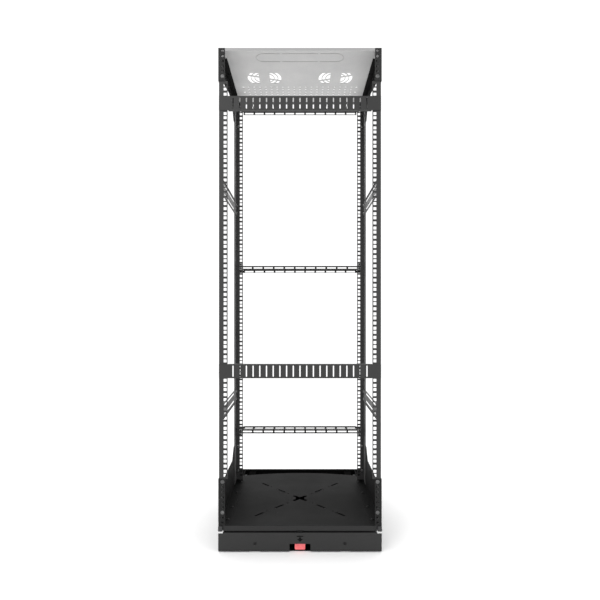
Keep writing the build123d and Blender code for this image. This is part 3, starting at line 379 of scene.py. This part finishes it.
def finished(name, mesh_data, slot, body, replaced=(), smooth=35):
    """Object from a bmesh, smooth-shaded but for its sharp edges, riding on a body."""
    mesh = bpy.data.meshes.new(name)
    bmesh.ops.recalc_face_normals(mesh_data, faces=mesh_data.faces)
    mesh_data.to_mesh(mesh)
    mesh_data.free()
    mesh.shade_smooth()
    mesh.set_sharp_from_angle(angle=math.radians(smooth))
    piece = bpy.data.objects.new(name, mesh)
    bpy.context.scene.collection.objects.link(piece)
    piece.data.materials.append(MATERIALS[slot])
    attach(piece, body)
    if replaced:
        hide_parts(*replaced)
    return piece


def add_loft(target, loops, place=Matrix(), closed=False):
    """Skin a list of equal loops; the ends are closed by faces unless the loft is a closed ring."""
    rings = [[target.verts.new(place @ Vector(point)) for point in loop] for loop in loops]
    pairs = list(zip(rings, rings[1:])) + ([(rings[-1], rings[0])] if closed else [])
    count = len(rings[0])
    for low, high in pairs:
        for i in range(count):
            j = (i + 1) % count
            target.faces.new((low[i], low[j], high[j], high[i]))
    if not closed:
        target.faces.new(list(reversed(rings[0])))
        target.faces.new(rings[-1])


def circle(radius, z, steps):
    """Loop of points round +Z at height z."""
    angles = [2 * math.pi * i / steps for i in range(steps)]
    return [(radius * math.cos(angle), radius * math.sin(angle), z) for angle in angles]


def rounded_rectangle(width, height, corner, z, steps=6):
    """Loop of a rectangle with round corners, in X and Y at height z."""
    corner = min(corner, width / 2 - 1e-6, height / 2 - 1e-6)
    loop = []
    for index, (sx, sy) in enumerate(((1, 1), (-1, 1), (-1, -1), (1, -1))):
        for i in range(steps + 1):
            angle = math.pi / 2 * (index + i / steps)
            loop.append((sx * (width / 2 - corner) + corner * math.cos(angle),
                         sy * (height / 2 - corner) + corner * math.sin(angle), z))
    return loop


def solids_of(node):
    """(lowest, highest) corner of each separate solid of a CAD node."""
    mesh_data = bmesh.new()
    mesh_data.from_mesh(NODES[node].data)
    bmesh.ops.remove_doubles(mesh_data, verts=mesh_data.verts, dist=1e-6)
    left, found = set(mesh_data.verts), []
    while left:
        stack, part = [left.pop()], []
        while stack:
            vertex = stack.pop()
            part.append(vertex.co.copy())
            for edge in vertex.link_edges:
                other = edge.other_vert(vertex)
                if other in left:
                    left.remove(other)
                    stack.append(other)
        found.append((Vector(map(min, zip(*part))), Vector(map(max, zip(*part)))))
    mesh_data.free()
    return sorted(found, key=lambda box: tuple(round(v, 5) for v in box[0]))


def along(point, direction):
    """Matrix that puts +Z along direction at point."""
    turn = Vector(direction).to_track_quat("Z", "Y").to_matrix().to_4x4()
    return Matrix.Translation(point) @ turn


# Fasteners with chamfered heads, sockets and threads

def thread_loops(radius, start, length, steps):
    """Rings that rise and fall like a thread, from start down to start - length."""
    loops, turns = [], max(2, int(length / THREAD_PITCH))
    for i in range(turns + 1):
        z = start - length * i / turns
        loops.append(circle(radius - THREAD_DEPTH, z + THREAD_PITCH * 0.25, steps))
        loops.append(circle(radius, z, steps))
    loops.append(circle(radius * 0.7, start - length - 0.5 * MM, steps))
    return loops


def add_button_screw(target, place, head_r, head_h, shank_r, length, socket_r):
    """Domed socket screw whose head stands on z = 0 and whose shank runs to -Z."""
    steps = SCREW_STEPS
    dome = [circle(head_r * across, head_h * up, steps) for across, up in BUTTON_PROFILE]
    dome.append(circle(socket_r * SOCKET_CHAMFER, head_h, steps))
    hexagonal = []
    for i in range(steps):
        angle = 2 * math.pi * i / steps
        side = math.cos(math.pi / 6) / math.cos((angle % (math.pi / 3)) - math.pi / 6)
        hexagonal.append((socket_r * side * math.cos(angle), socket_r * side * math.sin(angle)))
    floor = head_h * SOCKET_FLOOR
    dome += [[(x, y, head_h * 0.96) for x, y in hexagonal], [(x, y, floor) for x, y in hexagonal],
             [(x * 0.2, y * 0.2, floor - 0.2 * MM) for x, y in hexagonal]]
    add_loft(target, list(reversed(dome)), place)
    plain = length * 0.25                # the shank's smooth part under the head
    neck = [circle(shank_r, 0.0, steps), circle(shank_r, -plain, steps)]
    add_loft(target, neck + thread_loops(shank_r, -plain, length * 0.75 - 0.5 * MM, steps), place)


def add_washer(target, place, outer, inner, thickness):
    """Stamped washer: rolled upper edge and a slightly dished face, standing on z = 0."""
    soft = thickness * 0.3
    section = [(outer, 0.0), (outer, thickness - soft), (outer - soft, thickness),
               (inner + soft, thickness), (inner, thickness - soft), (inner, 0.0)]
    add_loft(target, [circle(r, z, WASHER_STEPS) for r, z in section], place, closed=True)


def make_frame_bolts():
    """Plated button-head bolts on washers at the heads and feet of the posts."""
    bolts = bmesh.new()
    for low, high in solids_of("frame_bolts"):
        centre = (low + high) / 2
        in_front = centre.y < RACK_MIDDLE_Y
        seat_y = low.y + BOLT_SEAT if in_front else high.y - BOLT_SEAT
        place = along((centre.x, seat_y, centre.z), (0, -1 if in_front else 1, 0))
        head_r = (high.x - low.x) / 2
        shank_r = head_r * BOLT_SHANK
        add_washer(bolts, place, head_r + WASHER_RIM, shank_r + WASHER_PLAY, WASHER_THICKNESS)
        raised = place @ Matrix.Translation((0, 0, WASHER_THICKNESS))
        add_button_screw(bolts, raised, head_r, BOLT_HEAD_HEIGHT, shank_r, BOLT_LENGTH,
                         head_r * BOLT_SOCKET)
    finished("frame_bolts_detail", bolts, "bolt_dark", "rack", ["frame_bolts"])


def make_black_screws():
    """Button-head screws: feet, braces, lacing bars and fascia, each at its CAD solid's place."""
    for node, body, direction, head_r, head_h, shank_r, length, socket_r in BLACK_SCREWS:
        screws = bmesh.new()
        for low, high in solids_of(node):
            centre = (low + high) / 2
            out = Vector(direction or (1 if centre.x > 0 else -1, 0, 0))
            half = (high - low) / 2
            tip = centre + Vector([out[i] * half[i] for i in range(3)])
            seat = tip - out * head_h * MM
            add_button_screw(screws, along(seat, out), head_r * MM, head_h * MM, shank_r * MM,
                             length * MM, socket_r * MM)
        finished(f"{node}_detail", screws, "screw_black", body, [node])


# Springs

def add_helix(target, place, coil_r, wire_r, length, turns):
    """Round wire wound about +Z of place, its pitch closing towards both ends."""
    steps = HELIX_STEPS * turns
    path = []
    for i in range(steps + 1):
        t = i / steps
        angle = 2 * math.pi * turns * t
        rise = length * t * t * (3 - 2 * t)
        path.append(place @ Vector((coil_r * math.cos(angle), coil_r * math.sin(angle), rise)))
    add_wire(target, path, wire_r)


def add_wire(target, path, wire_r, sides=8):
    """Round wire along a path of points."""
    loops, side = [], None
    for i, point in enumerate(path):
        ahead = (path[min(i + 1, len(path) - 1)] - path[max(i - 1, 0)]).normalized()
        side = ahead.orthogonal() if side is None else side - ahead * ahead.dot(side)
        side.normalize()
        up = ahead.cross(side)
        angles = [2 * math.pi * k / sides for k in range(sides)]
        loops.append([point + (side * math.cos(a) + up * math.sin(a)) * wire_r for a in angles])
    add_loft(target, loops)


def make_turn_stop_spring():
    """Wound compression spring in place of the plain stand-in."""
    low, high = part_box("turn_stop_spring")
    wire = STOP_SPRING_WIRE
    middle, radius = (low + high) / 2, (high.y - low.y) / 2
    coil = bmesh.new()
    place = Matrix.Translation((middle.x, middle.y, low.z + wire))
    add_helix(coil, place, radius - wire, wire, high.z - low.z - 2 * wire, STOP_SPRING_TURNS)
    spring = finished("turn_stop_spring_wound", coil, "spring_steel", "carriage", ["turn_stop_spring"],
                      smooth=WIRE_SMOOTH)
    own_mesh(spring)


def make_latch_spring():
    """Wound torsion spring round the latch pin, with a leg up to the bracket."""
    low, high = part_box("latch_spring")
    pin_low, pin_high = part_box("latch_pin")
    pin = (pin_low + pin_high) / 2
    wire, radius = LATCH_SPRING_WIRE, LATCH_SPRING_R
    coil = bmesh.new()
    place = Matrix.Translation((low.x + wire, pin.y, pin.z)) @ Matrix.Rotation(math.radians(-90), 4, "Y")
    place = place @ Matrix.Rotation(math.radians(180), 4, "X")
    add_helix(coil, place, radius, wire, high.x - low.x - 2 * wire, LATCH_SPRING_TURNS)
    foot_z = pin.z + radius
    leg = [Vector((low.x + wire, pin.y, z)) for z in (foot_z, (foot_z + high.z) / 2, high.z)]
    add_wire(coil, leg, wire)
    finished("latch_spring_wound", coil, "spring_steel", "carriage", ["latch_spring"], smooth=WIRE_SMOOTH)


# Moulded pieces

def quarter_round(soft):
    """(inset, rise) of the steps of a quarter-round edge."""
    angles = [math.pi / 2 * i / SOFT_STEPS for i in range(1, SOFT_STEPS + 1)]
    return [(soft * (1 - math.cos(angle)), soft * math.sin(angle)) for angle in angles]


def add_pad(target, place, width, height, depth, corner, soft, crown=0.0):
    """Rounded block whose front is +Z: soft front edge, and a slightly hollow or crowned face."""
    loops = [rounded_rectangle(width, height, corner, z) for z in (0.0, depth - soft)]
    for inset, rise in quarter_round(soft):
        loops.append(rounded_rectangle(width - 2 * inset, height - 2 * inset, max(corner - inset, 0.2 * MM),
                                       depth - soft + rise))
    flat_w, flat_h = width - 2 * soft, height - 2 * soft
    for share in (0.85, 0.6, 0.3, 0.08):
        loops.append(rounded_rectangle(flat_w * share, flat_h * share, corner * share,
                                       depth + crown * (1 - share * share)))
    add_loft(target, loops, place)


def make_paddle():
    """Red foot paddle: hollow pressing face with three grip ribs."""
    low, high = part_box("latch_paddle")
    middle = (low + high) / 2
    back = low.y + PADDLE_FACE_BACK + PADDLE_DEPTH
    place = along((middle.x, back, middle.z), (0, -1, 0))
    paddle = bmesh.new()
    add_pad(paddle, place, high.x - low.x, high.z - low.z, PADDLE_DEPTH, PADDLE_CORNER, PADDLE_SOFT,
            crown=-PADDLE_HOLLOW)
    for offset in PADDLE_RIB_PLACES:
        add_pad(paddle, place @ Matrix.Translation((0, offset, PADDLE_DEPTH - PADDLE_RIB_SUNK)), *PADDLE_RIB)
    finished("latch_paddle_moulded", paddle, "paddle_red", "latch", ["latch_paddle"], smooth=50)


def cap_loops(size):
    """Outlines of one cap from its rounded foot over the step to its soft top edge."""
    def loop(inset, corner, z):
        return rounded_rectangle(size.x - 2 * inset, size.y - 2 * inset, corner, z)

    shoulder = size.z * CAP_SHOULDER
    loops = [loop(inset * MM, CAP_CORNER, z * MM) for inset, z in CAP_FOOT]
    loops.append(loop(0.0, CAP_CORNER, shoulder))
    loops += [loop(CAP_STEP, CAP_CORNER, z) for z in (shoulder + CAP_STEP_RISE, size.z - CAP_SOFT)]
    loops += [loop(CAP_STEP + inset, CAP_TOP_CORNER, size.z - CAP_SOFT + rise)
              for inset, rise in quarter_round(CAP_SOFT)]
    return loops


def make_corner_caps():
    """Moulded caps with soft edges and a step half-way up."""
    caps = bmesh.new()
    for low, high in solids_of("deck_corner_caps"):
        foot = Matrix.Translation(((low.x + high.x) / 2, (low.y + high.y) / 2, low.z))
        add_loft(caps, cap_loops(high - low), foot)
    finished("deck_corner_caps_moulded", caps, "cap_black", "rack", ["deck_corner_caps"], smooth=40)


def bumper_section(foot_r, length):
    """(radius, height) of a bumper from its foot over the ribs to the hollow in its end."""
    tip_r = foot_r - BUMPER_NECK * MM
    section = [(foot_r - inset * MM, z * MM) for inset, z in BUMPER_FOOT]
    section.append((tip_r, BUMPER_NECK_START * MM))
    start = (BUMPER_NECK_START + 0.4) * MM
    step = (length - start - 2.2 * MM) / BUMPER_RIBS
    for i in range(BUMPER_RIBS):
        z = start + step * i
        section += [(tip_r, z), (tip_r - BUMPER_GROOVE, z + step * 0.35),
                    (tip_r - BUMPER_GROOVE, z + step * 0.65), (tip_r, z + step)]
    section += [(tip_r - inset * MM, length - back * MM) for inset, back in BUMPER_END]
    hollow = length - 0.9 * MM
    return section + [(tip_r * 0.4, length), (tip_r * 0.3, hollow), (0.4 * MM, hollow)]


def make_bumpers():
    """Ribbed rubber stops on the back wall of the pan."""
    bumpers = bmesh.new()
    for low, high in solids_of("rear_bumpers"):
        middle = (low + high) / 2
        section = bumper_section((high.x - low.x) / 2, high.y - low.y)
        place = along((middle.x, high.y, middle.z), (0, -1, 0))
        add_loft(bumpers, [circle(r, z, BUMPER_STEPS) for r, z in section], place)
    finished("rear_bumpers_moulded", bumpers, "bumper_rubber", "base", ["rear_bumpers"], smooth=40)


def make_slide_mark():
    """Plain printed mark on the fascia, for the way the rack slides."""
    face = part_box("fascia")[0].y
    mark = bmesh.new()
    for shape in MARK_SHAPES:
        add_loft(mark, [[(x * MM, face - y * MM, z * MM) for x, z in shape] for y in (0.0, MARK_THICKNESS)])
    finished("fascia_slide_mark", mark, "base_black", "carriage")


# Stage, lights and camera

def stage_material():
    s = Shader("studio floor", Specular_IOR_Level=0.1, Emission_Color=(1.0, 1.0, 1.0, 1.0),
               Emission_Strength=FLOOR_GLOW)
    clouds = s.spread(s.noise(3.0, detail=3.0), 0.3, 0.7)
    return s.use(Base_Color=s.mix(clouds, *map(grey, FLOOR_TONES)), Roughness=0.95)


def make_stage():
    floor = bmesh.new()
    bmesh.ops.create_grid(floor, x_segments=4, y_segments=4, size=FLOOR_SIZE)
    mesh = bpy.data.meshes.new("studio_floor")
    floor.to_mesh(mesh)
    floor.free()
    piece = bpy.data.objects.new("studio_floor", mesh)
    piece.location.z = -FLOOR_DROP
    bpy.context.scene.collection.objects.link(piece)
    mesh.materials.append(stage_material())


def add_light(name, place, target, size, power):
    light = bpy.data.lights.new(name, "AREA")
    light.shape = "RECTANGLE"
    light.size, light.size_y = size
    light.energy = power
    lamp = bpy.data.objects.new(name, light)
    lamp.location = place
    lamp.rotation_mode = "QUATERNION"
    lamp.rotation_quaternion = (Vector(target) - Vector(place)).to_track_quat("-Z", "Y")
    bpy.context.scene.collection.objects.link(lamp)


def light_the_scene():
    world = bpy.data.worlds.new("studio")
    world.use_nodes = True
    sky = world.node_tree.nodes["Background"]
    sky.inputs["Color"].default_value = (1.0, 1.0, 1.0, 1.0)
    sky.inputs["Strength"].default_value = SKY_STRENGTH
    bpy.context.scene.world = world
    bpy.context.scene.view_settings.view_transform = "Standard"
    for lamp in LAMPS:
        add_light(*lamp)


def make_camera():
    """Level camera in front of the rack's middle, at the height and distance of the reference view."""
    rails_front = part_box("front_rail_left")[0].y
    camera = bpy.data.cameras.new("camera")
    camera.lens, camera.sensor_width, camera.shift_y = CAMERA_LENS, CAMERA_SENSOR, CAMERA_SHIFT
    camera.clip_start, camera.clip_end = CAMERA_CLIP
    rig = bpy.data.objects.new("camera", camera)
    rig.location = (0, rails_front - CAMERA_AHEAD, CAMERA_HEIGHT)
    rig.rotation_euler = (math.radians(90), 0, 0)
    bpy.context.scene.collection.objects.link(rig)
    bpy.context.scene.camera = rig


make_camera()
light_the_scene()
make_stage()
dress_cad_nodes()
make_frame_bolts()
make_black_screws()
make_turn_stop_spring()
make_latch_spring()
make_paddle()
make_corner_caps()
make_bumpers()
make_slide_mark()
